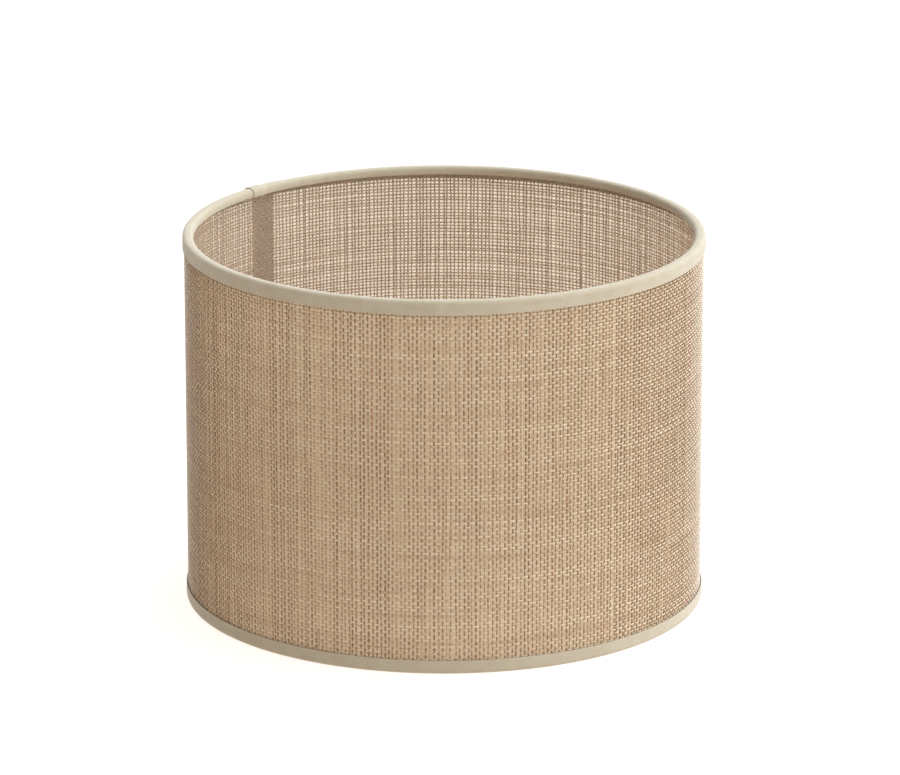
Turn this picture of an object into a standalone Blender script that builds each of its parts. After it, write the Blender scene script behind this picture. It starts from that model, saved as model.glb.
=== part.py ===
"""A drum lamp shade: a rolled jute panel lined with frosted film, glued round two wire rings,
with cotton tape folded over both rims and a recessed spoked fitter for the lamp holder.

Metres, +Z up. The origin is the centre of the bottom rim, on the surface the shade stands on.
"""

from math import atan2, ceil, cos, floor, pi, radians, sin

import bmesh
import bpy

# Overall size, measured over the trim tape.
RIM_DIAMETER = 0.300
SHADE_HEIGHT = 0.217

# The materials as they are bought.
JUTE_THICKNESS = 0.0008
FILM_THICKNESS = 0.00025
STRIP_THICKNESS = 0.0002
TAPE_THICKNESS = 0.0005
RING_WIRE = 0.003
SPOKE_WIRE = 0.003

# The glued seam, where the end of the panel laps over its start.
SEAM_ANGLE = radians(136)
SEAM_LAP = 0.017
SEAM_RAMP = 0.012
STRIP_MARGIN = 0.0005

# How far the trim tape reaches along the panel outside, and down past the wire inside.
TAPE_OUTER_LEG = 0.008
TAPE_PAST_WIRE = 0.0007
TAPE_FOLD_RADIUS = 0.0012
TAPE_FOLD_STEPS = 3

# The fitter takes a lamp holder with a 40 mm thread.
HOLDER_HOLE = 0.042
FITTER_DIAMETER = 0.054
FITTER_THICKNESS = 0.002
FITTER_EDGE = 0.0003
FITTER_HEIGHT = 0.025
SPOKE_COUNT = 3
FIRST_SPOKE = radians(90)
SPOKE_BEND = 0.010
SPOKE_BEND_STEPS = 5

TOUCH_GAP = 0.0003
ROUND_STEPS = 72
FITTER_STEPS = 48
WIRE_SIDES = 8
MERGE = 0.00001

# The layers, from the outside of the rim inwards.
RIM_RADIUS = RIM_DIAMETER / 2
PANEL_RADIUS = RIM_RADIUS - TAPE_THICKNESS - TOUCH_GAP
FILM_RADIUS = PANEL_RADIUS - JUTE_THICKNESS - TOUCH_GAP
WIRE_OUTSIDE = FILM_RADIUS - FILM_THICKNESS - TOUCH_GAP
RING_RADIUS = WIRE_OUTSIDE - RING_WIRE / 2
TAPE_INSIDE = WIRE_OUTSIDE - RING_WIRE - TOUCH_GAP - TAPE_THICKNESS

# Heights. Both rims are built alike, each measured from its own end. The wire bears on the
# tape's fold, and the panel's edge stops a little short of it, clear of the fold's round.
WIRE_FROM_END = TAPE_THICKNESS + TOUCH_GAP
PANEL_BOTTOM = WIRE_FROM_END + TOUCH_GAP
PANEL_TOP = SHADE_HEIGHT - PANEL_BOTTOM
RING_FROM_END = WIRE_FROM_END + RING_WIRE / 2
TAPE_INNER_LEG = WIRE_FROM_END + RING_WIRE + TAPE_PAST_WIRE

# The lap stands out by what lies under it.
SEAM_LIFT = JUTE_THICKNESS + STRIP_THICKNESS + 2 * TOUCH_GAP
LAP_START = SEAM_ANGLE - SEAM_LAP / PANEL_RADIUS / 2
LAP_END = SEAM_ANGLE + SEAM_LAP / PANEL_RADIUS / 2
RAMP_END = LAP_START - TOUCH_GAP / PANEL_RADIUS * 2
RAMP_START = RAMP_END - SEAM_RAMP / PANEL_RADIUS
STEP_ANGLE = 2 * pi / ROUND_STEPS


def clear_scene():
    for old in list(bpy.data.objects):
        bpy.data.objects.remove(old, do_unlink=True)


def make_collection(name):
    made = bpy.data.collections.new(name)
    bpy.context.scene.collection.children.link(made)
    return made


def make_material(name, colour, roughness, metallic=0.0):
    material = bpy.data.materials.new(name)
    material.use_nodes = True
    surface = material.node_tree.nodes["Principled BSDF"]
    surface.inputs["Base Color"].default_value = (*colour, 1)
    surface.inputs["Roughness"].default_value = roughness
    surface.inputs["Metallic"].default_value = metallic
    return material


def add_object(name, data, material, collection):
    made = bpy.data.objects.new(name, data)
    data.materials.append(material)
    collection.objects.link(made)
    return made


def smooth(mesh, angle=30):
    mesh.shade_smooth()
    mesh.set_sharp_from_angle(angle=radians(angle))


def smoothstep(share):
    share = min(max(share, 0), 1)
    return share * share * (3 - 2 * share)


def roll_angles(start, end, extra=()):
    """Angles along a rolled sheet: its ends, the steps that all round pieces share, and extras."""
    steps = [i * STEP_ANGLE for i in range(ceil(start / STEP_ANGLE), floor(end / STEP_ANGLE) + 1)]
    kept = [start]
    for angle in sorted([*steps, *(a for a in extra if start < a < end)]):
        if kept[-1] + radians(0.2) < angle < end - radians(0.2):
            kept.append(angle)
    return [*kept, end]


def rolled_sheet(name, radius, angles, bottom, top, thickness, material, collection):
    """A sheet rolled about Z: an upright open strip whose outer face is at radius(angle)."""
    mesh = bpy.data.meshes.new(name)
    shape = bmesh.new()
    row = [shape.verts.new((radius(a) * cos(a), radius(a) * sin(a), bottom)) for a in angles]
    foot = [shape.edges.new(pair) for pair in zip(row, row[1:])]
    raised = bmesh.ops.extrude_edge_only(shape, edges=foot)["geom"]
    lifted = [part for part in raised if isinstance(part, bmesh.types.BMVert)]
    bmesh.ops.translate(shape, verts=lifted, vec=(0, 0, top - bottom))
    shape.normal_update()
    first = next(iter(shape.faces))
    if first.normal.dot(first.calc_center_median()) < 0:
        bmesh.ops.reverse_faces(shape, faces=shape.faces)
    shape.to_mesh(mesh)
    shape.free()
    smooth(mesh)
    made = add_object(name, mesh, material, collection)
    wall = made.modifiers.new("Wall", "SOLIDIFY")
    wall.thickness = thickness
    wall.offset = -1
    wall.use_even_offset = True
    return made


def turned(name, profile, steps, material, collection):
    """A closed profile of (radius, height) points, down its outer side first, turned about Z."""
    mesh = bpy.data.meshes.new(name)
    shape = bmesh.new()
    loop = [shape.verts.new((r, 0, z)) for r, z in profile]
    for i, point in enumerate(loop):
        shape.edges.new((point, loop[(i + 1) % len(loop)]))
    shape.to_mesh(mesh)
    shape.free()
    made = add_object(name, mesh, material, collection)
    turn = made.modifiers.new("Turn", "SCREW")
    turn.axis = "Z"
    turn.steps = steps
    turn.render_steps = steps
    turn.use_merge_vertices = True
    turn.merge_threshold = MERGE
    return made


def make_panel(material, collection):
    """The jute panel. Its start lies on the film, and its end rises to lap over the start."""
    turn = 2 * pi
    end = LAP_END + turn
    ramp = [RAMP_START + turn + (RAMP_END - RAMP_START) * i / 4 for i in range(5)]

    def radius(angle):
        share = (angle - turn - RAMP_START) / (RAMP_END - RAMP_START)
        return PANEL_RADIUS + SEAM_LIFT * smoothstep(share)

    angles = roll_angles(LAP_START, end, [*ramp, LAP_START + turn])
    return rolled_sheet(
        "jute_panel", radius, angles, PANEL_BOTTOM, PANEL_TOP, JUTE_THICKNESS, material, collection
    )


def make_film(material, collection):
    """The film behind the jute, whose two ends butt together where the seam's inner edge is."""
    butt = TOUCH_GAP / FILM_RADIUS
    angles = roll_angles(LAP_START, LAP_START + 2 * pi - butt)
    return rolled_sheet(
        "film_lining",
        lambda angle: FILM_RADIUS,
        angles,
        PANEL_BOTTOM,
        PANEL_TOP,
        FILM_THICKNESS,
        material,
        collection,
    )


def make_strip(material, collection):
    """The double-sided tape that holds the lap, sealed between its two layers of jute."""
    outside = PANEL_RADIUS + TOUCH_GAP + STRIP_THICKNESS
    inset = STRIP_MARGIN / PANEL_RADIUS
    angles = roll_angles(LAP_START + inset, LAP_END - inset)
    return rolled_sheet(
        "seam_adhesive_strip",
        lambda angle: outside,
        angles,
        PANEL_BOTTOM,
        PANEL_TOP,
        STRIP_THICKNESS,
        material,
        collection,
    )


def fold_arc(centre, radius, start, end):
    """Points of a fold's round, from one angle to another, in the plane of radius and height."""
    turn = [start + (end - start) * i / TAPE_FOLD_STEPS for i in range(TAPE_FOLD_STEPS + 1)]
    return [(centre[0] + radius * cos(a), centre[1] + radius * sin(a)) for a in turn]


def tape_profile():
    """The tape's U as it sits on the top rim, with its flat back at height 0 and its legs down."""
    outer, inner = TAPE_FOLD_RADIUS, TAPE_FOLD_RADIUS - TAPE_THICKNESS
    right = (RIM_RADIUS - outer, -outer)
    left = (TAPE_INSIDE + outer, -outer)
    outside = [
        *fold_arc(left, outer, pi, pi / 2),
        *fold_arc(right, outer, pi / 2, 0),
        (RIM_RADIUS, -TAPE_OUTER_LEG),
    ]
    inside = [
        (RIM_RADIUS - TAPE_THICKNESS, -TAPE_OUTER_LEG),
        *fold_arc(right, inner, 0, pi / 2),
        *fold_arc(left, inner, pi / 2, pi),
        (TAPE_INSIDE + TAPE_THICKNESS, -TAPE_INNER_LEG),
        (TAPE_INSIDE, -TAPE_INNER_LEG),
    ]
    return [*outside, *inside]


def lap_lift(angle):
    """How far the tape stands out at one of the shared steps, to clear the seam's lap."""
    turned_by = (angle - SEAM_ANGLE + pi) % (2 * pi) - pi
    low = RAMP_START - SEAM_ANGLE - STEP_ANGLE
    high = LAP_END - SEAM_ANGLE + STEP_ANGLE
    return SEAM_LIFT if low < turned_by < high else 0


def make_tape(name, at_top, material, collection):
    """Tape folded over a rim, eased outwards where it passes over the panel's lap."""
    if at_top:
        profile = [(r, SHADE_HEIGHT + z) for r, z in tape_profile()]
    else:
        profile = [(r, -z) for r, z in reversed(tape_profile())]
    ring = turned(name, profile, ROUND_STEPS, material, collection)
    view = bpy.context.evaluated_depsgraph_get()
    mesh = bpy.data.meshes.new_from_object(ring.evaluated_get(view))
    ring.modifiers.clear()
    ring.data = mesh
    for vertex in mesh.vertices:
        flat = vertex.co.xy
        share = (flat.length - RING_RADIUS) / (FILM_RADIUS - RING_RADIUS)
        shift = lap_lift(atan2(flat.y, flat.x)) * min(max(share, 0), 1)
        vertex.co.xy = flat * (1 + shift / flat.length)
    smooth(mesh, 40)
    return ring


def make_ring(name, height, material, collection):
    bpy.ops.mesh.primitive_torus_add(
        major_segments=ROUND_STEPS,
        minor_segments=WIRE_SIDES,
        major_radius=RING_RADIUS,
        minor_radius=RING_WIRE / 2,
        location=(0, 0, height),
    )
    ring = bpy.context.object
    ring.name = name
    ring.data.name = name
    ring.data.materials.append(material)
    ring.data.shade_smooth()
    bpy.context.collection.objects.unlink(ring)
    collection.objects.link(ring)
    return ring


def make_fitter(material, collection):
    """The flat stamped ring that the lamp holder's collar clamps."""
    inside, outside = HOLDER_HOLE / 2, FITTER_DIAMETER / 2
    top = FITTER_HEIGHT + FITTER_THICKNESS / 2
    bottom = FITTER_HEIGHT - FITTER_THICKNESS / 2
    profile = [
        (outside - FITTER_EDGE, top),
        (outside, top - FITTER_EDGE),
        (outside, bottom + FITTER_EDGE),
        (outside - FITTER_EDGE, bottom),
        (inside + FITTER_EDGE, bottom),
        (inside, bottom + FITTER_EDGE),
        (inside, top - FITTER_EDGE),
        (inside + FITTER_EDGE, top),
    ]
    return turned("fitter_ring", profile, FITTER_STEPS, material, collection)


def make_spoke(number, material, collection):
    """A wire that stands on the bottom ring, bends inwards and runs level to the fitter ring."""
    foot = (RING_RADIUS, RING_FROM_END + RING_WIRE / 2 + TOUCH_GAP)
    tip = (FITTER_DIAMETER / 2 + TOUCH_GAP, FITTER_HEIGHT)
    bend = min(SPOKE_BEND, FITTER_HEIGHT - foot[1])
    centre = (RING_RADIUS - bend, FITTER_HEIGHT - bend)
    turn = [pi / 2 * i / SPOKE_BEND_STEPS for i in range(SPOKE_BEND_STEPS + 1)]
    route = [foot, *((centre[0] + bend * cos(a), centre[1] + bend * sin(a)) for a in turn), tip]

    name = f"fitter_spoke_{number + 1}"
    curve = bpy.data.curves.new(name, "CURVE")
    curve.dimensions = "3D"
    curve.bevel_depth = SPOKE_WIRE / 2
    curve.bevel_resolution = 2
    curve.use_fill_caps = True
    line = curve.splines.new("POLY")
    line.points.add(len(route) - 1)
    for point, (r, z) in zip(line.points, route):
        point.co = (r, 0, z, 1)
    spoke = add_object(name, curve, material, collection)
    spoke.rotation_euler.z = FIRST_SPOKE + number * 2 * pi / SPOKE_COUNT
    return spoke


def main():
    clear_scene()
    shade = make_collection("drum_lamp_shade")
    jute = make_material("jute", (0.50, 0.33, 0.17), 0.9)
    film = make_material("frosted_film", (0.86, 0.84, 0.8), 0.35)
    adhesive = make_material("adhesive_tape", (0.75, 0.72, 0.62), 0.4)
    cotton = make_material("cotton_tape", (0.68, 0.65, 0.53), 0.9)
    steel = make_material("white_coated_steel", (0.80, 0.80, 0.78), 0.35)

    make_panel(jute, shade)
    make_film(film, shade)
    make_strip(adhesive, shade)
    make_ring("top_wire_ring", SHADE_HEIGHT - RING_FROM_END, steel, shade)
    make_ring("bottom_wire_ring", RING_FROM_END, steel, shade)
    make_tape("top_trim_tape", True, cotton, shade)
    make_tape("bottom_trim_tape", False, cotton, shade)
    make_fitter(steel, shade)
    for number in range(SPOKE_COUNT):
        make_spoke(number, steel, shade)


main()
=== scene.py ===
"""Looks of a drum lamp shade: woven jute on frosted film, cotton rim tape and a wire frame."""

from math import cos, pi, radians, sin

import bpy
import numpy as np
from bpy.props import FloatProperty, FloatVectorProperty, IntProperty, PointerProperty
from mathutils import Matrix, Vector


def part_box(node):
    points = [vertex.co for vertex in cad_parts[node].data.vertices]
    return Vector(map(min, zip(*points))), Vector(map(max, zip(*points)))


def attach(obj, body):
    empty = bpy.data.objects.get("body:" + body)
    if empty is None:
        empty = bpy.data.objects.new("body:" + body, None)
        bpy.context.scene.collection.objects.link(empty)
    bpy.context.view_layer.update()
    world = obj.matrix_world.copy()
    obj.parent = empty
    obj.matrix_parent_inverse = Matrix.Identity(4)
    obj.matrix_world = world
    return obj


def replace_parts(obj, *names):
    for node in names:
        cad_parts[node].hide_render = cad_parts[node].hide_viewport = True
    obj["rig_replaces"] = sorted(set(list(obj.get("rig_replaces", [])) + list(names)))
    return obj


bl_info = {
    "name": "Drum Lamp Shade",
    "version": (1, 0, 0),
    "blender": (4, 5, 0),
    "location": "3D View > Sidebar > Lamp Shade",
    "description": "Models a jute drum shade on its measured frame, one piece at a time",
    "category": "Object",
}

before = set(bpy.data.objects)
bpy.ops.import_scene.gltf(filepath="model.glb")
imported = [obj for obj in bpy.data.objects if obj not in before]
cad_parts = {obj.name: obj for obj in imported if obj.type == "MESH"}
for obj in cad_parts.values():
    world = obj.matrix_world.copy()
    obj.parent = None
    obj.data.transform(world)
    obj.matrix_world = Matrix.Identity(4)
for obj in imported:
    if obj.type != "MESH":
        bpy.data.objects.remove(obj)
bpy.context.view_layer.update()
BODY = "root"
MM = 0.001

# Sizes read from the frame's own solids.
PANEL_LOW, PANEL_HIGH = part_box("jute_panel")
RIM_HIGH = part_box("top_trim_tape")[1]
FILM_LOW, FILM_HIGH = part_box("film_lining")
WIRE_LOW, WIRE_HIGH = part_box("top_wire_ring")
FITTER_LOW, FITTER_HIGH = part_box("fitter_ring")
SPOKE_LOW, SPOKE_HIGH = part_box("fitter_spoke_1")

PANEL_HEIGHT = PANEL_HIGH[2] - PANEL_LOW[2]
SHADE_TOP = RIM_HIGH[2]
WIRE_RADIUS = (WIRE_HIGH[2] - WIRE_LOW[2]) / 2
RING_RADIUS = WIRE_HIGH[0] - WIRE_RADIUS
WIRE_FROM_END = SHADE_TOP - WIRE_HIGH[2] + WIRE_RADIUS

# The glued seam at the back left: the panel's end laps over its start by 17 mm. What lies over it
# stands out by the lift, which it reaches along a ramp.
SEAM_ANGLE = radians(136)
SEAM_LAP = 17 * MM
SEAM_LIFT = 1.2 * MM
SEAM_RAMP = 12 * MM
FILM_THICKNESS = 0.25 * MM
HOLDER_HOLE = 42 * MM
SPOKE_ANGLES = [radians(90 + 120 * i) for i in range(3)]


def linear(code, alpha=None):
    """An sRGB hex colour as the linear values that shaders take."""
    channels = [int(code[i : i + 2], 16) / 255 for i in (1, 3, 5)]
    light = [c / 12.92 if c <= 0.04045 else ((c + 0.055) / 1.055) ** 2.4 for c in channels]
    return tuple(light) if alpha is None else (*light, alpha)


def smoothstep(share):
    share = np.clip(share, 0, 1)
    return share * share * (3 - 2 * share)


def colour_setting(name, description, code):
    return FloatVectorProperty(
        name=name,
        description=description,
        subtype="COLOR",
        size=3,
        min=0,
        max=1,
        default=linear(code),
    )


def length_setting(name, description, default):
    return FloatProperty(
        name=name, description=description, default=default, min=0, unit="LENGTH", precision=5
    )


def share_setting(name, description, default):
    return FloatProperty(name=name, description=description, default=default, min=0, max=1)


# Settings ----------------------------------------------------------------------------------------


class ClothSettings(bpy.types.PropertyGroup):
    warp_pitch: length_setting("Warp Spacing", "Between upright threads, 11 to the inch", 2.33 * MM)
    weft_pitch: length_setting("Weft Spacing", "Between level threads, 13 to the inch", 1.95 * MM)
    warp_width: length_setting("Warp Width", "Width of an upright thread, pressed flat", 1.05 * MM)
    weft_width: length_setting("Weft Width", "Width of a level thread, pressed flat", 1.02 * MM)
    yarn_depth: length_setting("Yarn Depth", "Thickness of a pressed thread", 0.6 * MM)
    warp_wave: length_setting("Warp Wave", "How far upright threads swing in and out", 0.28 * MM)
    weft_wave: length_setting("Weft Wave", "How far level threads swing in and out", 0.3 * MM)
    seed: IntProperty(
        name="Seed", description="Picks the yarn's slubs and streaks", default=11, min=0
    )
    pale: colour_setting("Pale Fibre", "The bleached fibres of the yarn", "#DECCAD")
    mid: colour_setting("Jute", "The usual colour of the yarn", "#C6A986")
    dark: colour_setting("Dark Fibre", "Bark-stained fibres", "#8F7355")
    red: colour_setting("Red Streak", "Threads spun from redder jute", "#A97D60")
    # Painted sheen: the pale colour that the yarn turns to where the wall is seen edge on.
    fuzz_sheen: colour_setting("Fuzz", "Loose pale fibres on the surface", "#E6DACA")
    sheen_rise: FloatProperty(
        name="Fuzz Rise", description="How late the fuzz comes in towards edge on", default=6, min=1
    )
    passed: share_setting("Light Passed", "Share of light that a thread lets through", 0.22)


class FilmSettings(bpy.types.PropertyGroup):
    thickness: length_setting("Thickness", "Of the frosted film", FILM_THICKNESS)
    haze: share_setting("Haze", "Share of light a face scatters, seen from inside", 0.26)
    frosting: share_setting("Frosting", "The same, seen from the frosted side", 0.76)
    passed: share_setting("Haze Passed", "Share of the scattered light that goes through", 0.6)
    milk: colour_setting("Milk", "What the haze gives, seen from inside", "#F7ECDA")
    glue: colour_setting("Glue", "The tan glue on the frosted side", "#ECD9BD")
    gloss: share_setting("Gloss", "Share of light that a face mirrors", 0.1)
    roughness: share_setting("Roughness", "How blurred its reflections are", 0.27)
    edge_haze: share_setting("Edge-On Haze", "Haze added where the film is looked along", 0.7)
    edge_gloss: share_setting("Edge-On Gloss", "Gloss added where the film is looked along", 0.3)
    edge_rise: FloatProperty(
        name="Edge-On Rise", description="How late both come in towards edge on", default=9, min=1
    )


class TapeSettings(bpy.types.PropertyGroup):
    thickness: length_setting("Thickness", "Of the cotton tape", 0.5 * MM)
    outer_leg: length_setting("Outer Leg", "How far it reaches along the jute", 8 * MM)
    lap: length_setting("Lap", "How far its end covers its start", 9 * MM)
    thread: length_setting("Thread Spacing", "Between its fine threads, drawn coarse", 0.6 * MM)
    cotton: colour_setting("Cotton", "Unbleached cotton", "#B0A48D")
    soiled: colour_setting("Cotton Shade", "Its slightly darker slubs", "#A5967D")


class FrameSettings(bpy.types.PropertyGroup):
    coat: colour_setting("Coat", "White powder coat on the steel", "#E9E8E2")
    adhesive: colour_setting("Adhesive Tape", "Yellowed double-sided tape", "#C79A68")


class StageSettings(bpy.types.PropertyGroup):
    lens: FloatProperty(name="Lens", description="Focal length in mm", default=241.4, min=1)
    distance: length_setting("Camera Distance", "From the point it looks at", 3.486)
    rise: FloatProperty(
        name="Camera Rise", description="Angle above level", default=radians(16.68), subtype="ANGLE"
    )
    key_power: FloatProperty(
        name="Key Power", description="Power of the large soft light, in watts", default=13
    )
    sky: FloatProperty(name="Sky", description="Strength of the white surroundings", default=3.65)
    lit_side: colour_setting("Lit Side", "White softboxes above and to the right", "#EDF6FF")
    dim_side: colour_setting("Dim Side", "The warm room in front and to the left", "#44382C")
    glow: FloatProperty(name="Floor Glow", description="Light of the lit opal table", default=0.86)
    floor: colour_setting("Floor", "Opal acrylic", "#8A8A8A")


# Shared tools ------------------------------------------------------------------------------------


def add_node(tree, kind, settings=None, links=None):
    """Adds a shader node. A setting names a property or a socket, and a link feeds a socket."""
    made = tree.nodes.new(kind)
    for name, value in (settings or {}).items():
        if name == "stops":
            ramp = made.color_ramp.elements
            while len(ramp) < len(value):
                ramp.new(1)
            for stop, (place, colour) in zip(ramp, value):
                stop.position = place
                stop.color = (*colour[:3], 1)
        elif isinstance(name, str) and hasattr(made, name):
            setattr(made, name, value)
        else:
            made.inputs[name].default_value = value
    for name, source in (links or {}).items():
        tree.links.new(source, made.inputs[name])
    return made


def add_noise(tree, place, size, **settings):
    """Noise whose patches have about the given size."""
    settings["Scale"] = 1 / size
    return add_node(tree, "ShaderNodeTexNoise", settings, {"Vector": place.outputs["Object"]})


def add_bump(tree, height, strength, distance, **links):
    settings = {"Strength": strength, "Distance": distance}
    return add_node(tree, "ShaderNodeBump", settings, {"Height": height, **links})


def add_outward(tree, place):
    """The way out from the drum's axis, kept level."""
    return add_node(
        tree,
        "ShaderNodeVectorMath",
        {"operation": "MULTIPLY", 1: (1, 1, 0)},
        {0: place.outputs["Object"]},
    )


def new_material(name):
    material = bpy.data.materials.new(name)
    material.use_nodes = True
    material.node_tree.nodes.clear()
    return material, material.node_tree


def finish_piece(piece, material, slot, *nodes):
    """Gives a piece its finish, and says which solids of the frame it stands for."""
    piece.data.materials.clear()
    piece.data.materials.append(material)
    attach(piece, BODY)
    if nodes:
        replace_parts(piece, *nodes)
    return piece


def start_piece(name):
    """Names the object that an operator has just added."""
    piece = bpy.context.object
    piece.name = name
    piece.data.name = name
    return piece


def choose(piece):
    """Selects one object and nothing else."""
    bpy.ops.object.select_all(action="DESELECT")
    bpy.context.view_layer.objects.active = piece
    piece.select_set(True)


def apply_place(piece):
    choose(piece)
    bpy.ops.object.transform_apply(location=True, rotation=True, scale=True)


def link_object(name, data):
    made = bpy.data.objects.new(name, data)
    bpy.context.scene.collection.objects.link(made)
    return made


def mesh_object(name, points, faces):
    """A new smooth object from a list of points and a list of faces."""
    mesh = bpy.data.meshes.new(name)
    mesh.from_pydata(points, [], faces)
    mesh.shade_smooth()
    mesh.update()
    return link_object(name, mesh)


def seam_lift(angle, rise_to, fall_from, step):
    """How far the layers over the seam stand out: up a ramp, level, and down a ramp."""
    turned = (np.asarray(angle) - SEAM_ANGLE + pi) % (2 * pi) - pi
    up = smoothstep((turned - rise_to + step) / step)
    down = smoothstep((fall_from + step - turned) / step)
    return SEAM_LIFT * np.minimum(up, down)


# The jute cloth ----------------------------------------------------------------------------------

# A thread is sampled where it crosses another and halfway between. A reach counts such samples.
LONG_REACH, SHORT_REACH = 18, 5
SLUB_EVERY, SLUB_REACH = 2500, 8
TONE_REACH, FLECK_REACH, STREAK_REACH = 30, 6, 60
WARP_REACH, WEFT_REACH = 26, 34

# How much a thread varies, as shares of its width, of its spacing and of the range of its tones.
OWN_SWELL, LONG_SWELL, SHORT_SWELL = 0.07, 0.1, 0.07
CROSSING_WIDTH, BETWEEN_WIDTH = 1.12, 0.92
WARP_SHIFT, WARP_STRAY = 0.09, 0.12
WEFT_SHIFT, WEFT_STRAY = 0.05, 0.1
TONE_STEP = 0.06

CLOTH_LENGTHS = 10
MAP_MARGIN = 0.01

# A thread is drawn with five sides, one of its corners on top.
SECTION = [radians(90 + 72 * i) for i in range(5)]


def wander(dice, threads, samples, reach):
    """Smooth unevenness from -1 to 1, a row for each thread, that changes over some samples."""
    knots = dice.uniform(-1, 1, (threads, int(samples / reach) + 3))
    place = np.arange(samples) / reach + dice.uniform(0, 1, (threads, 1))
    step = place.astype(int)
    share = smoothstep(place - step)
    rows = np.arange(threads)[:, None]
    return knots[rows, step] * (1 - share) + knots[rows, step + 1] * share


def slubs(dice, threads, samples, every, reach):
    """Thick places in the yarn, from 0 to 1, about one in so many samples."""
    made = np.zeros((threads, samples))
    place = np.arange(samples)
    for _ in range(int(threads * samples / every)):
        thread = dice.integers(threads)
        spread = reach * dice.uniform(0.5, 1.5)
        bump = np.exp(-(((place - dice.uniform(0, samples)) / spread) ** 2))
        made[thread] = np.maximum(made[thread], bump * dice.uniform(0.4, 1))
    return made


def halfway(crossings, first, last):
    """Samples at the crossings and halfway between them, from the first value to the last."""
    between = (crossings[:, 1:] + crossings[:, :-1]) / 2
    whole = np.empty((crossings.shape[0], crossings.shape[1] * 2 + 1))
    whole[:, 1::2] = crossings
    whole[:, 2:-1:2] = between
    whole[:, 0], whole[:, -1] = first, last
    return whole


class Yarns:
    """One set of parallel threads, as arrays with a row for each thread."""

    def __init__(self, along, across, depth, width, thick, tone, red):
        self.along, self.across, self.depth = along, across, depth
        self.width, self.thick, self.tone, self.red = width, thick, tone, red

    def part(self, rows, columns):
        return Yarns(*(value[rows, columns] for value in vars(self).values()))


def spin_yarn(dice, threads, samples, width, depth, *, paleness, uneven, streaks):
    """Widths, thicknesses, tones and redness of a set of threads.

    Uneven is how far the threads differ in tone, and streaks how strong the red ones are.
    """
    own = dice.normal(0, 1, (threads, 1))
    swell = 1 + OWN_SWELL * own + LONG_SWELL * wander(dice, threads, samples, LONG_REACH)
    swell += SHORT_SWELL * wander(dice, threads, samples, SHORT_REACH)
    thick_place = slubs(dice, threads, samples, SLUB_EVERY, SLUB_REACH)
    # A thread spreads where it passes over or under another, and draws in between.
    spread = np.where(np.arange(samples) % 2, CROSSING_WIDTH, BETWEEN_WIDTH)
    width_here = width * (swell + 0.5 * thick_place) * spread
    depth_here = depth * (0.6 + 0.4 * swell + 0.35 * thick_place)
    tone = paleness + uneven * dice.normal(0, 1, (threads, 1))
    tone = tone + TONE_STEP * wander(dice, threads, samples, TONE_REACH)
    flecks = TONE_STEP * wander(dice, threads, samples, FLECK_REACH)
    tone += flecks + TONE_STEP * dice.uniform(-1, 1, (threads, samples))
    # A few threads are red all along, and the others here and there.
    whole = np.clip(dice.normal(0, 0.4, (threads, 1)) - 0.2, 0, 1)
    places = np.clip(wander(dice, threads, samples, STREAK_REACH) - 0.3, 0, 1)
    red = streaks * np.clip(whole + places, 0, 1)
    return width_here, depth_here, np.clip(tone, 0, 1), red


def space_threads(dice, threads, samples, pitch, shift, stray, reach):
    """How far across the panel each thread lies, near its even place."""
    off = shift * dice.normal(0, 1, (threads, 1)) + stray * wander(dice, threads, samples, reach)
    return (np.arange(threads)[:, None] + 0.5 + off) * pitch


def weave(cloth, length, height):
    """Plain weave of a flat panel: the warp and weft threads, each over one and under one."""
    warps = round(length / cloth.warp_pitch)
    wefts = round(height / cloth.weft_pitch)
    dice = np.random.default_rng(cloth.seed)
    across, up = length / warps, height / wefts
    rows, columns = 2 * wefts + 1, 2 * warps + 1

    warp_across = space_threads(dice, warps, rows, across, WARP_SHIFT, WARP_STRAY, WARP_REACH)
    weft_across = space_threads(dice, wefts, columns, up, WEFT_SHIFT, WEFT_STRAY, WEFT_REACH)
    over = np.where((np.arange(warps)[:, None] + np.arange(wefts)) % 2, -1.0, 1.0)

    spun = spin_yarn(
        dice,
        warps,
        rows,
        cloth.warp_width,
        cloth.yarn_depth,
        paleness=0.33,
        uneven=0.06,
        streaks=1,
    )
    warp = Yarns(
        halfway(weft_across[:, 1::2].T, 0, height),
        warp_across,
        halfway(over * cloth.warp_wave, 0, 0) * (np.arange(rows) % 2),
        *spun,
    )
    spun = spin_yarn(
        dice,
        wefts,
        columns,
        cloth.weft_width,
        cloth.yarn_depth,
        paleness=0.62,
        uneven=0.03,
        streaks=0.2,
    )
    weft = Yarns(
        halfway(warp_across[:, 1::2].T, 0, length),
        weft_across,
        halfway(-over.T * cloth.weft_wave, 0, 0) * (np.arange(columns) % 2),
        *spun,
    )
    return warp, weft


def tubes(yarns, upright):
    """Points of five-sided threads, as (along the panel, up, out), and their faces and ends."""
    turn = np.array(SECTION)
    side = yarns.across[..., None] + yarns.width[..., None] / 2 * np.cos(turn)
    run = np.broadcast_to(yarns.along[..., None], side.shape)
    out = yarns.depth[..., None] + yarns.thick[..., None] / 2 * np.sin(turn)
    points = np.stack([side, run, out] if upright else [run, side, out], axis=-1)

    threads, samples, sides = side.shape
    index = np.arange(threads * samples * sides).reshape(threads, samples, sides)
    ahead = np.roll(index, -1, axis=2)
    walls = np.stack([index[:, :-1], ahead[:, :-1], ahead[:, 1:], index[:, 1:]], axis=-1)
    ends = np.concatenate([index[:, 0, ::-1], index[:, -1]])
    if upright:
        walls, ends = walls[..., ::-1], ends[:, ::-1]
    return points.reshape(-1, 3), walls.reshape(-1, 4), ends


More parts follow.
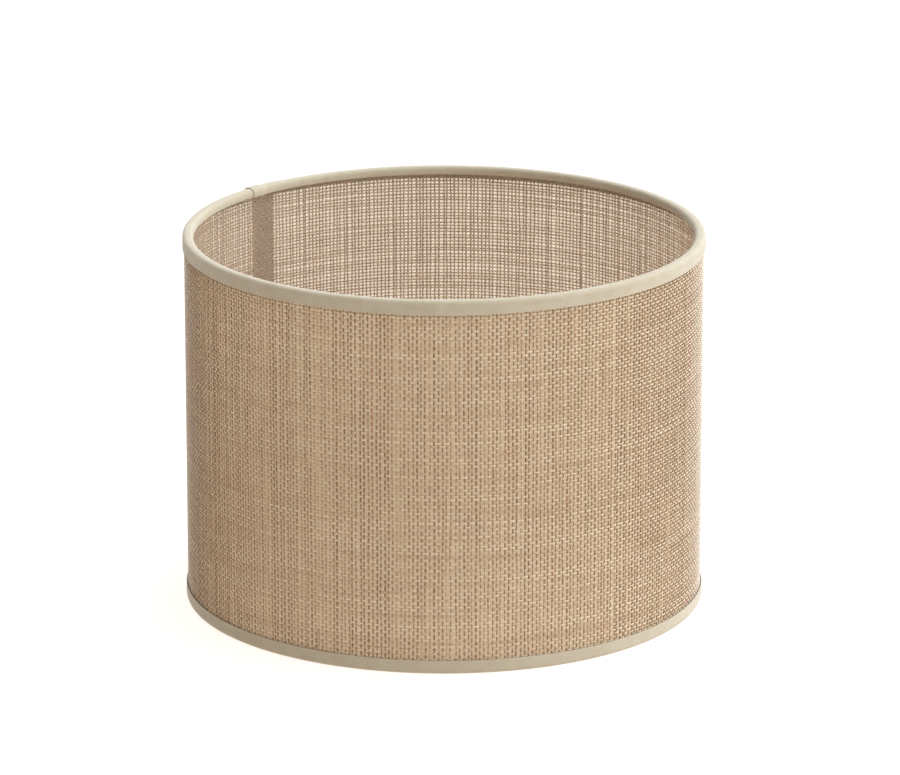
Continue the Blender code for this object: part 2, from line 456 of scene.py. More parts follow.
def cloth_piece(name, sets, shape_panel, span, height):
    """One length of the cloth: its threads rolled to the drum, with closed ends.

    The warp takes the left half of the texture map and the weft takes the right half.
    """
    points, walls, ends, maps, tones, reds, count = [], [], [], [], [], [], 0
    for half, (yarns, upright) in enumerate(sets):
        own, faces, caps = tubes(yarns, upright)
        points.append(own)
        walls.append(faces + count)
        ends.append(caps + count)
        right = (own[:, 0] - span[0]) / (span[1] - span[0])
        right = MAP_MARGIN + (0.5 - 2 * MAP_MARGIN) * right + 0.5 * half
        above = MAP_MARGIN + (1 - 2 * MAP_MARGIN) * own[:, 1] / height
        maps.append(np.stack([right, above], axis=1))
        tones.append(np.repeat(yarns.tone.ravel(), len(SECTION)))
        reds.append(np.repeat(yarns.red.ravel(), len(SECTION)))
        count += len(own)
    flat = np.concatenate(points)
    walls, ends = np.concatenate(walls), np.concatenate(ends)
    corners = np.concatenate([walls.ravel(), ends.ravel()])
    sizes = np.concatenate([np.full(len(walls), 4), np.full(len(ends), 5)])

    mesh = bpy.data.meshes.new(name)
    mesh.vertices.add(len(flat))
    mesh.vertices.foreach_set("co", shape_panel(flat).ravel())
    mesh.loops.add(len(corners))
    mesh.loops.foreach_set("vertex_index", corners)
    mesh.polygons.add(len(sizes))
    mesh.polygons.foreach_set("loop_start", np.cumsum(sizes) - sizes)
    mesh.update(calc_edges=True)
    mesh.shade_smooth()

    edge_of = np.empty(len(corners), np.int32)
    mesh.loops.foreach_get("edge_index", edge_of)
    sharp = np.zeros(len(mesh.edges), bool)
    sharp[edge_of[walls.size :]] = True
    mesh.attributes.new("sharp_edge", "BOOLEAN", "EDGE").data.foreach_set("value", sharp)
    layer = mesh.uv_layers.new(name="OFBake")
    layer.uv.foreach_set("vector", np.concatenate(maps)[corners].ravel())
    for attribute, values in (("tone", tones), ("red", reds)):
        made = mesh.attributes.new(attribute, "FLOAT", "POINT")
        made.data.foreach_set("value", np.concatenate(values))
    return link_object(name, mesh)


def jute_material(cloth):
    """Natural jute yarn, loosely spun: matt, hairy and tan with paler and redder fibres; painted
    sheen edge on.
    """
    material, tree = new_material("jute_yarn")
    tone = add_node(tree, "ShaderNodeAttribute", {"attribute_name": "tone"})
    red = add_node(tree, "ShaderNodeAttribute", {"attribute_name": "red"})
    place = add_node(tree, "ShaderNodeTexCoord")
    # The finest detail of this noise is about as wide as a bundle of fibre, 0.3 mm.
    fibres = add_noise(tree, place, 0.9 * MM, Detail=2.0, Roughness=0.6)
    mixed = add_node(
        tree,
        "ShaderNodeMath",
        {"operation": "MULTIPLY_ADD", 1: 0.5},
        {0: fibres.outputs["Fac"], 2: tone.outputs["Fac"]},
    )
    shade = add_node(
        tree,
        "ShaderNodeValToRGB",
        {"stops": [(0.45, cloth.dark), (0.75, cloth.mid), (1.0, cloth.pale)]},
        {"Fac": mixed.outputs[0]},
    )
    tinted = add_node(
        tree,
        "ShaderNodeMix",
        {"data_type": "RGBA", 7: (*cloth.red, 1)},
        {0: red.outputs["Fac"], 6: shade.outputs["Color"]},
    )
    # Painted sheen: the colour is paled where the drum's wall is seen edge on, for light that loose
    # fibres catch.
    outward = add_outward(tree, place)
    wall_normal = add_node(
        tree, "ShaderNodeVectorMath", {"operation": "NORMALIZE"}, {0: outward.outputs["Vector"]}
    )
    sheen_mask = add_node(
        tree, "ShaderNodeLayerWeight", {"Blend": 0.5}, {"Normal": wall_normal.outputs["Vector"]}
    )
    fuzz_sheen = add_node(
        tree,
        "ShaderNodeMath",
        {"operation": "POWER", 1: cloth.sheen_rise},
        {0: sheen_mask.outputs["Facing"]},
    )
    with_painted_sheen = add_node(
        tree,
        "ShaderNodeMix",
        {"data_type": "RGBA", 7: (*cloth.fuzz_sheen, 1)},
        {0: fuzz_sheen.outputs[0], 6: tinted.outputs[2]},
    )
    bump = add_bump(tree, fibres.outputs["Fac"], 0.5, 0.08 * MM)
    yarn = add_node(
        tree,
        "ShaderNodeBsdfPrincipled",
        {"Roughness": 0.82, "Specular IOR Level": 0.3, "Sheen Weight": 0.3, "Sheen Roughness": 0.4},
        {"Base Color": with_painted_sheen.outputs[2], "Normal": bump.outputs["Normal"]},
    )
    lit_through = add_node(tree, "ShaderNodeBsdfTranslucent", links={"Color": tinted.outputs[2]})
    surface = add_node(
        tree,
        "ShaderNodeMixShader",
        {0: cloth.passed},
        {1: yarn.outputs[0], 2: lit_through.outputs[0]},
    )
    add_node(tree, "ShaderNodeOutputMaterial", links={"Surface": surface.outputs[0]})
    return material


class SHADE_OT_jute_cloth(bpy.types.Operator):
    """Weave the jute panel thread by thread and roll it into the drum"""

    bl_idname = "lampshade.jute_cloth"
    bl_label = "Jute Cloth"

    def execute(self, context):
        cloth = context.scene.shade_cloth
        thickness = cloth.yarn_depth + 2 * max(cloth.warp_wave, cloth.weft_wave)
        middle = PANEL_HIGH[0] - thickness / 2
        start = SEAM_ANGLE - SEAM_LAP / middle / 2
        length = 2 * pi * middle + SEAM_LAP
        # The end is at its full height a little before it comes to the start.
        raised_from = 2 * pi * middle - 1 * MM

        def roll(flat):
            angle = start + flat[:, 0] / middle
            raised = SEAM_LIFT * smoothstep((flat[:, 0] - raised_from + SEAM_RAMP) / SEAM_RAMP)
            radius = middle + raised + flat[:, 2]
            up = PANEL_LOW[2] + flat[:, 1]
            return np.stack([radius * np.cos(angle), radius * np.sin(angle), up], axis=1)

        warp, weft = weave(cloth, length, PANEL_HEIGHT)
        material = jute_material(cloth)
        cuts = [round(len(warp.across) * i / CLOTH_LENGTHS) for i in range(CLOTH_LENGTHS + 1)]
        pitch = length / len(warp.across)
        for number, (first, last) in enumerate(zip(cuts, cuts[1:]), 1):
            sets = [
                (warp.part(slice(first, last), slice(None)), True),
                (weft.part(slice(None), slice(2 * first, 2 * last + 1)), False),
            ]
            span = (first * pitch, last * pitch)
            piece = cloth_piece(f"jute_cloth_{number}", sets, roll, span, PANEL_HEIGHT)
            finish_piece(piece, material, "jute", "jute_panel")
        return {"FINISHED"}


# The film and the seam's tape --------------------------------------------------------------------


def rolled_sheet(name, outside, thickness, angles, low, high):
    """A thin closed sheet rolled about the drum's axis, from its outer face inwards."""
    inside = outside - thickness
    loop = [(outside, low), (outside, high), (inside, high), (inside, low)]
    points = [(r * np.cos(a), r * np.sin(a), z) for a in angles for r, z in loop]
    count = len(loop)
    index = np.arange(len(points)).reshape(len(angles), count)
    ahead = np.roll(index, -1, axis=1)
    walls = np.stack([index[:-1], index[1:], ahead[1:], ahead[:-1]], axis=-1).reshape(-1, 4)
    faces = [*walls.tolist(), index[0].tolist(), index[-1, ::-1].tolist()]
    piece = mesh_object(name, points, faces)
    piece.data.set_sharp_from_angle(angle=radians(40))
    return piece


def film_material(film):
    """Film frosted outside: it veils the threads from inside and hides the floor from outside."""
    material, tree = new_material("frosted_film")
    place = add_node(tree, "ShaderNodeTexCoord")
    outward = add_outward(tree, place)
    normal = add_node(tree, "ShaderNodeNewGeometry")
    side = add_node(
        tree,
        "ShaderNodeVectorMath",
        {"operation": "DOT_PRODUCT"},
        {0: outward.outputs["Vector"], 1: normal.outputs["Normal"]},
    )
    outer = add_node(
        tree, "ShaderNodeMath", {"operation": "GREATER_THAN", 1: 0.0}, {0: side.outputs["Value"]}
    )
    facing = add_node(tree, "ShaderNodeLayerWeight", {"Blend": 0.5})
    skimming = add_node(
        tree,
        "ShaderNodeMath",
        {"operation": "POWER", 1: film.edge_rise},
        {0: facing.outputs["Facing"]},
    )
    inner_haze = add_node(
        tree,
        "ShaderNodeMath",
        {"operation": "MULTIPLY_ADD", 1: film.edge_haze, 2: film.haze},
        {0: skimming.outputs[0]},
    )
    veil = add_node(
        tree,
        "ShaderNodeMix",
        {"data_type": "FLOAT", 3: film.frosting},
        {0: outer.outputs[0], 2: inner_haze.outputs[0]},
    )
    clear = add_node(tree, "ShaderNodeBsdfTransparent", {"Color": linear("#F5F1EB", 1)})
    # Outside, the glue that holds the jute shows tan between the threads.
    cast = add_node(
        tree,
        "ShaderNodeMix",
        {"data_type": "RGBA", 6: (*film.milk, 1), 7: (*film.glue, 1)},
        {0: outer.outputs[0]},
    )
    milk = add_node(
        tree,
        "ShaderNodeBsdfPrincipled",
        {"Roughness": 1.0, "Specular IOR Level": 0.0},
        {"Base Color": cast.outputs[2]},
    )
    glow = add_node(tree, "ShaderNodeBsdfTranslucent", links={"Color": cast.outputs[2]})
    haze = add_node(
        tree, "ShaderNodeMixShader", {0: film.passed}, {1: milk.outputs[0], 2: glow.outputs[0]}
    )
    both = add_node(
        tree,
        "ShaderNodeMixShader",
        links={0: veil.outputs[0], 1: clear.outputs[0], 2: haze.outputs[0]},
    )
    shine = add_node(
        tree,
        "ShaderNodeMath",
        {"operation": "MULTIPLY_ADD", 1: film.edge_gloss, 2: film.gloss},
        {0: skimming.outputs[0]},
    )
    gloss = add_node(
        tree,
        "ShaderNodeBsdfAnisotropic",
        {"Color": linear("#F4F0EA", 1), "Roughness": film.roughness},
    )
    surface = add_node(
        tree,
        "ShaderNodeMixShader",
        links={0: shine.outputs[0], 1: both.outputs[0], 2: gloss.outputs[0]},
    )
    add_node(tree, "ShaderNodeOutputMaterial", links={"Surface": surface.outputs[0]})
    return material


class SHADE_OT_film_lining(bpy.types.Operator):
    """Line the drum with its frosted film"""

    bl_idname = "lampshade.film_lining"
    bl_label = "Film Lining"

    def execute(self, context):
        film = context.scene.shade_film
        outside = FILM_HIGH[0]
        past_seam, slit, steps = 0.8 * MM, 0.3 * MM, 360
        start = SEAM_ANGLE - (SEAM_LAP / 2 + past_seam) / outside
        angles = np.linspace(start, start + 2 * pi - slit / outside, steps + 1)
        low, high = FILM_LOW[2], FILM_HIGH[2]
        piece = rolled_sheet("frosted_film_lining", outside, film.thickness, angles, low, high)
        finish_piece(piece, film_material(film), "frosted_film", "film_lining")
        return {"FINISHED"}


def adhesive_material(finish):
    """Double-sided tape, yellowed: it blocks the light between the seam's two layers."""
    material, tree = new_material("adhesive_tape")
    place = add_node(tree, "ShaderNodeTexCoord")
    streaks = add_noise(tree, place, 6 * MM, Detail=3.0)
    colour = add_node(
        tree,
        "ShaderNodeValToRGB",
        {"stops": [(0.3, [c * 0.8 for c in finish.adhesive]), (0.7, finish.adhesive)]},
        {"Fac": streaks.outputs["Fac"]},
    )
    tape = add_node(
        tree,
        "ShaderNodeBsdfPrincipled",
        {"Roughness": 0.55},
        {"Base Color": colour.outputs["Color"]},
    )
    add_node(tree, "ShaderNodeOutputMaterial", links={"Surface": tape.outputs[0]})
    return material


class SHADE_OT_seam_tape(bpy.types.Operator):
    """Lay the double-sided tape between the two layers of the seam"""

    bl_idname = "lampshade.seam_tape"
    bl_label = "Seam Tape"

    def execute(self, context):
        thickness, above_panel, margin, steps = 0.15 * MM, 0.2 * MM, 0.5 * MM, 12
        outside = PANEL_HIGH[0] + above_panel
        half = (SEAM_LAP / 2 - margin) / outside
        angles = np.linspace(SEAM_ANGLE - half, SEAM_ANGLE + half, steps + 1)
        low, high = PANEL_LOW[2], PANEL_HIGH[2]
        piece = rolled_sheet("seam_tape", outside, thickness, angles, low, high)
        material = adhesive_material(context.scene.shade_frame)
        finish_piece(piece, material, "adhesive_tape", "seam_adhesive_strip")
        return {"FINISHED"}


# The cotton tapes --------------------------------------------------------------------------------

# How finely a tape is drawn, along it and across it.
TAPE_STEPS, TAPE_ROWS = 420, 30
# Half of a slit's width round the drum, its depth, and the extra steps beside its edges.
SLIT_HALF = radians(0.8)
SLIT_DEPTH = 3 * MM
SLIT_STEPS = np.radians((-0.85, -0.72, 0.72, 0.85))
# How far the free edge wavers and the outer leg ripples.
EDGE_WAVER, RIPPLE = 0.14 * MM, 0.05 * MM
LAP_RAMP = radians(1.2)


def arc(centre, radius, start, end, steps):
    """Points round a centre, from one angle in degrees to another."""
    turn = np.radians(np.linspace(start, end, steps + 1))
    return np.stack([centre[0] + radius * np.cos(turn), centre[1] + radius * np.sin(turn)], axis=1)


def tape_route(tape):
    """The tape's middle as (radius, depth below the rim).

    It goes up the jute, over the wire, down as a flat inner leg and in to the film.
    """
    half = tape.thickness / 2
    outer = RIM_HIGH[0] - half
    fold = 1.9 * MM
    round_wire = WIRE_FROM_END - half
    wire = (RING_RADIUS, -WIRE_FROM_END)
    inner_leg = 4.1 * MM
    tuck = 0.6 * MM
    tucked_end = FILM_HIGH[0] - FILM_THICKNESS - 0.35 * MM
    return np.concatenate(
        [
            [(outer, -tape.outer_leg), (outer, -tape.outer_leg / 2)],
            arc((outer - fold, -half - fold), fold, 0, 90, 7),
            arc(wire, round_wire, 90, 180, 12),
            arc((wire[0] - round_wire + tuck, -inner_leg), tuck, 180, 255, 6),
            [(tucked_end, -inner_leg - tuck)],
        ]
    )


def tape_angles(segments, lap, slits):
    """Angles along a tape, closer together beside its slits, from its start to its lapped end."""
    first = SEAM_ANGLE + lap / 2
    steady = np.linspace(first, first + 2 * pi + lap, segments)
    beside = [
        first + (slit - first) % (2 * pi) + side
        for slit in slits
        for side in SLIT_STEPS
    ]
    return np.unique(np.concatenate([steady, beside]))


def folded_tape(name, tape, at_top, slits):
    """Cotton tape folded over a rim. Its tucked edge is slit where a spoke stands."""
    dice = np.random.default_rng(5 if at_top else 8)
    lap = tape.lap / RIM_HIGH[0]
    angles = tape_angles(TAPE_STEPS, lap, slits)
    route = tape_route(tape)
    steps = np.concatenate([[0], np.cumsum(np.linalg.norm(np.diff(route, axis=0), axis=1))])
    width = steps[-1]
    share = np.linspace(0, 1, TAPE_ROWS)

    near = [np.abs((angles - slit + pi) % (2 * pi) - pi) for slit in slits]
    open_here = np.min(near, axis=0) < SLIT_HALF if slits else np.zeros(len(angles), bool)
    reach = np.where(open_here, width - SLIT_DEPTH, width)
    along = share * reach[:, None]
    radius = np.interp(along, steps, route[:, 0])
    depth = np.interp(along, steps, route[:, 1])

    # The free edge wavers along the first third, and the outer leg ripples.
    depth = depth + (1 - smoothstep(share * 3)) * EDGE_WAVER * wander(dice, 1, len(angles), 14).T
    radius = radius + RIPPLE * wander(dice, TAPE_ROWS, len(angles), 9).T * (share < 0.4)
    # Over the seam the outside stands out, and the lapped end stands off its start all round.
    outside = smoothstep((radius - RING_RADIUS) / (FILM_HIGH[0] - RING_RADIUS))
    half_lap = (SEAM_LAP / 2) / PANEL_HIGH[0]
    ramp = SEAM_RAMP / PANEL_HIGH[0]
    lift = seam_lift(angles, -half_lap, half_lap, ramp)[:, None]
    over = smoothstep((angles - angles[-1] + lap + LAP_RAMP) / LAP_RAMP)[:, None]
    down = np.gradient(depth, axis=1)
    inward = np.gradient(radius, axis=1)
    size = np.hypot(down, inward) + 1e-12
    grow = tape.thickness * 1.05 * over
    radius, depth = radius + lift * outside + grow * down / size, depth - grow * inward / size

    up = SHADE_TOP + depth if at_top else -depth
    points = np.stack(
        [radius * np.cos(angles)[:, None], radius * np.sin(angles)[:, None], up], axis=-1
    )
    index = np.arange(angles.size * share.size).reshape(angles.size, share.size)
    faces = np.stack([index[:-1, :-1], index[1:, :-1], index[1:, 1:], index[:-1, 1:]], axis=-1)
    if not at_top:
        faces = faces[..., ::-1]
    piece = mesh_object(name, points.reshape(-1, 3).tolist(), faces.reshape(-1, 4).tolist())
    layer = piece.data.uv_layers.new(name="Tape")
    cloth = np.stack([np.repeat(angles * RIM_HIGH[0], share.size), along.ravel()], axis=1)
    corner = np.empty(len(piece.data.loops), np.int32)
    piece.data.loops.foreach_get("vertex_index", corner)
    layer.uv.foreach_set("vector", cloth[corner].ravel())
    wall = piece.modifiers.new("Thickness", "SOLIDIFY")
    wall.thickness = tape.thickness
    wall.offset = 0
    choose(piece)
    bpy.ops.object.modifier_apply(modifier=wall.name)
    bpy.ops.object.shade_smooth_by_angle(angle=radians(50))
    return piece, (float(angles[-1] - angles[0]) * RIM_HIGH[0], float(width))


def cotton_material(tape):
    """Unbleached cotton tape: soft, matt and close-woven, with faint slubs."""
    material, tree = new_material("cotton_tape")
    place = add_node(tree, "ShaderNodeUVMap", {"uv_map": "Tape"})
    solid = add_node(tree, "ShaderNodeTexCoord")
    repeats = 1 / tape.thread
    # Two fine rib patterns at right angles make the plain weave; the true threads are 0.3 mm apart.
    warp, weft = (
        add_node(
            tree,
            "ShaderNodeTexWave",
            {"bands_direction": way, "Scale": repeats / 2, "Distortion": 0.6, "Detail": 1.0},
            {"Vector": place.outputs[0]},
        )
        for way in "XY"
    )
    threads = add_node(
        tree,
        "ShaderNodeMath",
        {"operation": "ADD"},
        {0: warp.outputs["Fac"], 1: weft.outputs["Fac"]},
    )
    slub = add_noise(tree, solid, 9 * MM, Detail=4.0, Roughness=0.65)
    colour = add_node(
        tree,
        "ShaderNodeValToRGB",
        {"stops": [(0.2, tape.soiled), (0.8, tape.cotton)]},
        {"Fac": slub.outputs["Fac"]},
    )
    bump = add_bump(tree, threads.outputs[0], 0.35, 0.1 * MM)
    soft = add_bump(tree, slub.outputs["Fac"], 0.3, 0.25 * MM, Normal=bump.outputs["Normal"])
    cotton = add_node(
        tree,
        "ShaderNodeBsdfPrincipled",
        {"Roughness": 0.85, "Specular IOR Level": 0.3, "Sheen Weight": 0.25},
        {"Base Color": colour.outputs["Color"], "Normal": soft.outputs["Normal"]},
    )
    add_node(tree, "ShaderNodeOutputMaterial", links={"Surface": cotton.outputs[0]})
    return material


class SHADE_OT_rim_tapes(bpy.types.Operator):
    """Fold the cotton tapes over the top and bottom rims"""

    bl_idname = "lampshade.rim_tapes"
    bl_label = "Rim Tapes"

    def execute(self, context):
        tape = context.scene.shade_tape
        material = cotton_material(tape)
        for name, at_top, slits, wire in (
            ("top_rim_tape", True, [], "top_wire_ring"),
            ("bottom_rim_tape", False, SPOKE_ANGLES, "bottom_wire_ring"),
        ):
            piece, flat = folded_tape(name, tape, at_top, slits)
            node = "top_trim_tape" if at_top else "bottom_trim_tape"
            finish_piece(piece, material, "cotton_tape", node)
        return {"FINISHED"}


# The wire frame ----------------------------------------------------------------------------------

RING_SIDES = 96
RING_EDGE = 0.35 * MM
# A spoke flares at its two welds. Its foot reaches down into the clearance over the ring wire.
SPOKE_SINK = 0.35 * MM
SPOKE_BEND = 10 * MM
FOOT_FLARE, FOOT_WELD = 1.12, 0.8 * MM
TIP_FLARE, TIP_WELD, TIP_REACH = 1.15, 0.8 * MM, 0.9 * MM


def coat_material(finish):
    """White powder coat on steel wire: smooth, half glossy, with a faint orange peel."""
    material, tree = new_material("white_powder_coat")
    place = add_node(tree, "ShaderNodeTexCoord")
    peel = add_noise(tree, place, 0.8 * MM, Detail=2.0)
    rough = add_node(
        tree,
        "ShaderNodeMapRange",
        {"To Min": 0.3, "To Max": 0.45},
        {"Value": peel.outputs["Fac"]},
    )
    bump = add_bump(tree, peel.outputs["Fac"], 0.2, 0.05 * MM)
    coat = add_node(
        tree,
        "ShaderNodeBsdfPrincipled",
        {"Base Color": (*finish.coat, 1)},
        {"Roughness": rough.outputs[0], "Normal": bump.outputs["Normal"]},
    )
    add_node(tree, "ShaderNodeOutputMaterial", links={"Surface": coat.outputs[0]})
    return material


def edit(piece, select="SELECT"):
    """Opens a piece for modelling, with all of it selected or none."""
    choose(piece)
    bpy.ops.object.mode_set(mode="EDIT")
    bpy.ops.mesh.select_all(action=select)


def make_fitter_ring(material):
    """The stamped ring: a disc, inset and bridged to open its hole, with its edges eased."""
    outside = FITTER_HIGH[0]
    thickness = FITTER_HIGH[2] - FITTER_LOW[2]
    bpy.ops.object.select_all(action="DESELECT")
    bpy.ops.mesh.primitive_cylinder_add(
        vertices=RING_SIDES,
        radius=outside,
        depth=thickness,
        location=(0, 0, FITTER_LOW[2] + thickness / 2),
    )
    ring = start_piece("stamped_fitter_ring")
    apply_place(ring)
    edit(ring, "DESELECT")
    bpy.ops.mesh.select_mode(type="FACE")
    bpy.ops.mesh.select_face_by_sides(number=RING_SIDES)
    bpy.ops.mesh.inset(thickness=outside - HOLDER_HOLE / 2)
    bpy.ops.mesh.bridge_edge_loops()
    bpy.ops.mesh.select_all(action="DESELECT")
    bpy.ops.mesh.select_mode(type="EDGE")
    bpy.ops.mesh.edges_select_sharp(sharpness=radians(60))
    bpy.ops.mesh.bevel(offset=RING_EDGE, segments=3)
    bpy.ops.object.mode_set(mode="OBJECT")
    bpy.ops.object.shade_smooth_by_angle(angle=radians(35))
    return finish_piece(ring, material, "coated_steel", "fitter_ring")


def make_spokes(material):
    """One spoke swept from its foot on the wire up, round and in, then copied round."""
    radius = (SPOKE_HIGH[0] - SPOKE_LOW[0]) / 2
    level = (FITTER_HIGH[2] + FITTER_LOW[2]) / 2
    foot = SPOKE_LOW[2] - SPOKE_SINK
    bpy.ops.object.select_all(action="DESELECT")
    bpy.ops.mesh.primitive_circle_add(
        vertices=20, radius=radius * FOOT_FLARE, fill_type="NGON", location=(0, RING_RADIUS, foot)
    )
    spoke = start_piece("swept_spoke_1")
    apply_place(spoke)
    edit(spoke)
    bpy.ops.mesh.select_mode(type="FACE")
    bpy.ops.mesh.extrude_region_move(TRANSFORM_OT_translate={"value": (0, 0, FOOT_WELD)})
    bpy.ops.transform.resize(
        value=(1 / FOOT_FLARE, 1 / FOOT_FLARE, 1), center_override=(0, RING_RADIUS, foot)
    )
    rise = level - SPOKE_BEND - foot - FOOT_WELD
    bpy.ops.mesh.extrude_region_move(TRANSFORM_OT_translate={"value": (0, 0, rise)})
    bpy.ops.mesh.spin(
        steps=14,
        angle=pi / 2,
        center=(0, RING_RADIUS - SPOKE_BEND, level - SPOKE_BEND),
        axis=(1, 0, 0),
    )
    inward = FITTER_HIGH[0] - RING_RADIUS + SPOKE_BEND + TIP_WELD
    bpy.ops.mesh.extrude_region_move(TRANSFORM_OT_translate={"value": (0, inward, 0)})
    bpy.ops.mesh.extrude_region_move(TRANSFORM_OT_translate={"value": (0, -TIP_REACH, 0)})
    bpy.ops.transform.resize(value=(TIP_FLARE, 1, 1), center_override=(0, FITTER_HIGH[0], level))
    bpy.ops.mesh.select_all(action="SELECT")
    bpy.ops.mesh.remove_doubles(threshold=0.01 * MM)
    bpy.ops.mesh.normals_make_consistent(inside=False)
    bpy.ops.object.mode_set(mode="OBJECT")
    bpy.ops.object.shade_smooth_by_angle(angle=radians(40))
    finish_piece(spoke, material, "coated_steel", "fitter_spoke_1")
    for number, angle in enumerate(SPOKE_ANGLES[1:], 2):
        copy = spoke.copy()
        copy.data = spoke.data.copy()
        copy.name = copy.data.name = f"swept_spoke_{number}"
        bpy.context.scene.collection.objects.link(copy)
        copy.data.transform(Matrix.Rotation(angle - SPOKE_ANGLES[0], 4, "Z"))
        # The copy stands for its own solid, not for the first spoke's too.
        del copy["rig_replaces"]
        finish_piece(copy, material, "coated_steel", f"fitter_spoke_{number}")


class SHADE_OT_wire_frame(bpy.types.Operator):
    """Model the fitter and its spokes, and coat the wire rings"""

    bl_idname = "lampshade.wire_frame"
    bl_label = "Wire Frame"

    def execute(self, context):
        material = coat_material(context.scene.shade_frame)
        make_fitter_ring(material)
        make_spokes(material)
        for name in ("top_wire_ring", "bottom_wire_ring"):
            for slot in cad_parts[name].material_slots:
                slot.material = material
        return {"FINISHED"}


# The stage ---------------------------------------------------------------------------------------

FLOOR_SIZE = 16
# The table glows more strongly inside the shade, up to a soft edge under the panel.
INNER_GLOW = 1.9
GLOW_EDGE = 12 * MM

KEY_PLACE = (2.8, 0.1, 1.4)
KEY_SIZE = 3.2
KEY_COLOUR = (0.94, 0.98, 1)

# The surroundings are brightest this way, and at their dimmest from where its share is this low.
BRIGHT_WAY = (0.78, 0.3, 0.55)
DIM_FROM = -0.3

# Where the camera looks, measured from the middle of the shade.
AIM_RIGHT, AIM_ABOVE = 3.4 * MM, 14.3 * MM


def floor_material(stage):
    """White acrylic table lit from beneath, so that it stays white under the shade."""
    material, tree = new_material("white_acrylic")
    place = add_node(tree, "ShaderNodeTexCoord")
    grain = add_noise(tree, place, 40 * MM)
    colour = add_node(
        tree,
        "ShaderNodeValToRGB",
        {"stops": [(0.3, [c * 0.99 for c in stage.floor]), (0.7, stage.floor)]},
        {"Fac": grain.outputs["Fac"]},
    )
    centre = add_node(
        tree, "ShaderNodeVectorMath", {"operation": "LENGTH"}, {0: place.outputs["Object"]}
    )
    lit = add_node(
        tree,
        "ShaderNodeMapRange",
        {
            "interpolation_type": "SMOOTHSTEP",
            "From Min": RING_RADIUS - GLOW_EDGE,
            "From Max": RING_RADIUS,
            "To Min": stage.glow * INNER_GLOW,
            "To Max": stage.glow,
        },
        {"Value": centre.outputs["Value"]},
    )
    table = add_node(
        tree,
        "ShaderNodeBsdfPrincipled",
        {"Roughness": 0.9, "Specular IOR Level": 0.1, "Emission Color": linear("#FFF6EC", 1)},
        {"Base Color": colour.outputs["Color"], "Emission Strength": lit.outputs[0]},
    )
    add_node(tree, "ShaderNodeOutputMaterial", links={"Surface": table.outputs[0]})
    return material


def soft_light(name, place, aim, size, power, colour):
    lamp = bpy.data.lights.new(name, "AREA")
    lamp.shape = "DISK"
    lamp.size = size
    lamp.energy = power
    lamp.color = colour
    made = link_object(name, lamp)
    made.location = place
    made.rotation_euler = (Vector(place) - Vector(aim)).to_track_quat("Z", "Y").to_euler()


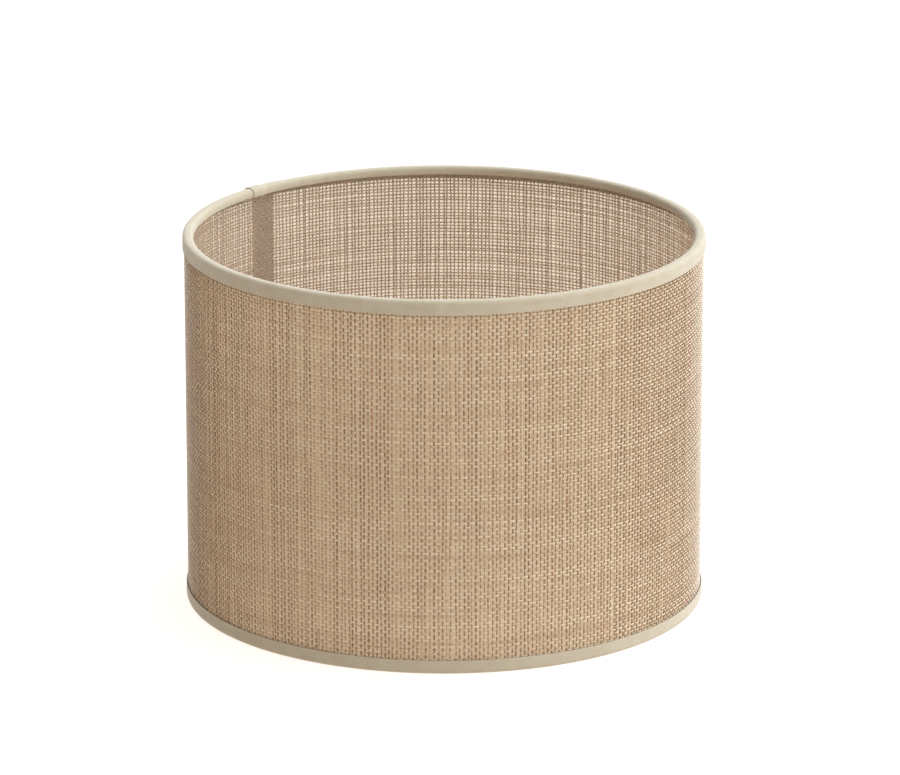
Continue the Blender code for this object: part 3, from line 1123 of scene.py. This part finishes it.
class SHADE_OT_stage(bpy.types.Operator):
    """Set the white floor, the soft light and the camera"""

    bl_idname = "lampshade.stage"
    bl_label = "Stage"

    def execute(self, context):
        stage = context.scene.shade_stage
        bpy.ops.object.select_all(action="DESELECT")
        bpy.ops.mesh.primitive_plane_add(size=FLOOR_SIZE, location=(0, 0, 0))
        floor = start_piece("white_floor")
        floor.data.materials.append(floor_material(stage))

        middle = (0, 0, SHADE_TOP / 2)
        soft_light("key_light", KEY_PLACE, middle, KEY_SIZE, stage.key_power, KEY_COLOUR)

        world = bpy.data.worlds.new("white_studio")
        context.scene.world = world
        world.use_nodes = True
        world.node_tree.nodes.clear()
        tree = world.node_tree
        toward = add_node(tree, "ShaderNodeTexCoord")
        side = add_node(
            tree,
            "ShaderNodeVectorMath",
            {"operation": "DOT_PRODUCT", 1: BRIGHT_WAY},
            {0: toward.outputs["Generated"]},
        )
        share = add_node(
            tree, "ShaderNodeMapRange", {"From Min": DIM_FROM}, {"Value": side.outputs["Value"]}
        )
        colour = add_node(
            tree,
            "ShaderNodeMix",
            {"data_type": "RGBA", 6: (*stage.dim_side, 1), 7: (*stage.lit_side, 1)},
            {0: share.outputs[0]},
        )
        glow = add_node(
            tree, "ShaderNodeBackground", {"Strength": stage.sky}, {"Color": colour.outputs[2]}
        )
        add_node(tree, "ShaderNodeOutputWorld", links={"Surface": glow.outputs[0]})

        aim = Vector((AIM_RIGHT, 0, SHADE_TOP / 2 + AIM_ABOVE))
        view = bpy.data.cameras.new("camera")
        view.lens = stage.lens
        view.sensor_width = 36
        view.sensor_fit = "HORIZONTAL"
        view.clip_end = 50
        camera = link_object("camera", view)
        away = Vector((0, -cos(stage.rise), sin(stage.rise)))
        camera.location = aim + stage.distance * away
        camera.rotation_euler = away.to_track_quat("Z", "Y").to_euler()
        context.scene.camera = camera
        context.scene.view_settings.view_transform = "Standard"
        return {"FINISHED"}


# The panel and registration ----------------------------------------------------------------------


class SHADE_PT_pieces(bpy.types.Panel):
    """Lists the shade's pieces in the order they are made"""

    bl_label = "Lamp Shade"
    bl_idname = "SHADE_PT_pieces"
    bl_space_type = "VIEW_3D"
    bl_region_type = "UI"
    bl_category = "Lamp Shade"

    def draw(self, context):
        column = self.layout.column()
        for operator in PIECES:
            column.operator(operator.bl_idname)
        for group in SETTINGS:
            box = self.layout.box()
            values = getattr(context.scene, group)
            for name in values.__annotations__:
                box.prop(values, name)


PIECES = [
    SHADE_OT_stage,
    SHADE_OT_wire_frame,
    SHADE_OT_film_lining,
    SHADE_OT_jute_cloth,
    SHADE_OT_seam_tape,
    SHADE_OT_rim_tapes,
]
SETTINGS = {
    "shade_cloth": ClothSettings,
    "shade_film": FilmSettings,
    "shade_tape": TapeSettings,
    "shade_frame": FrameSettings,
    "shade_stage": StageSettings,
}


def register():
    for kind in (*SETTINGS.values(), *PIECES, SHADE_PT_pieces):
        bpy.utils.register_class(kind)
    for name, kind in SETTINGS.items():
        setattr(bpy.types.Scene, name, PointerProperty(type=kind))


def unregister():
    for name in SETTINGS:
        delattr(bpy.types.Scene, name)
    for kind in (SHADE_PT_pieces, *reversed(PIECES), *reversed(SETTINGS.values())):
        bpy.utils.unregister_class(kind)


def main():
    register()
    bpy.ops.lampshade.stage()
    bpy.ops.lampshade.wire_frame()
    bpy.ops.lampshade.film_lining()
    bpy.ops.lampshade.jute_cloth()
    bpy.ops.lampshade.seam_tape()
    bpy.ops.lampshade.rim_tapes()


if __name__ == "__main__":
    main()
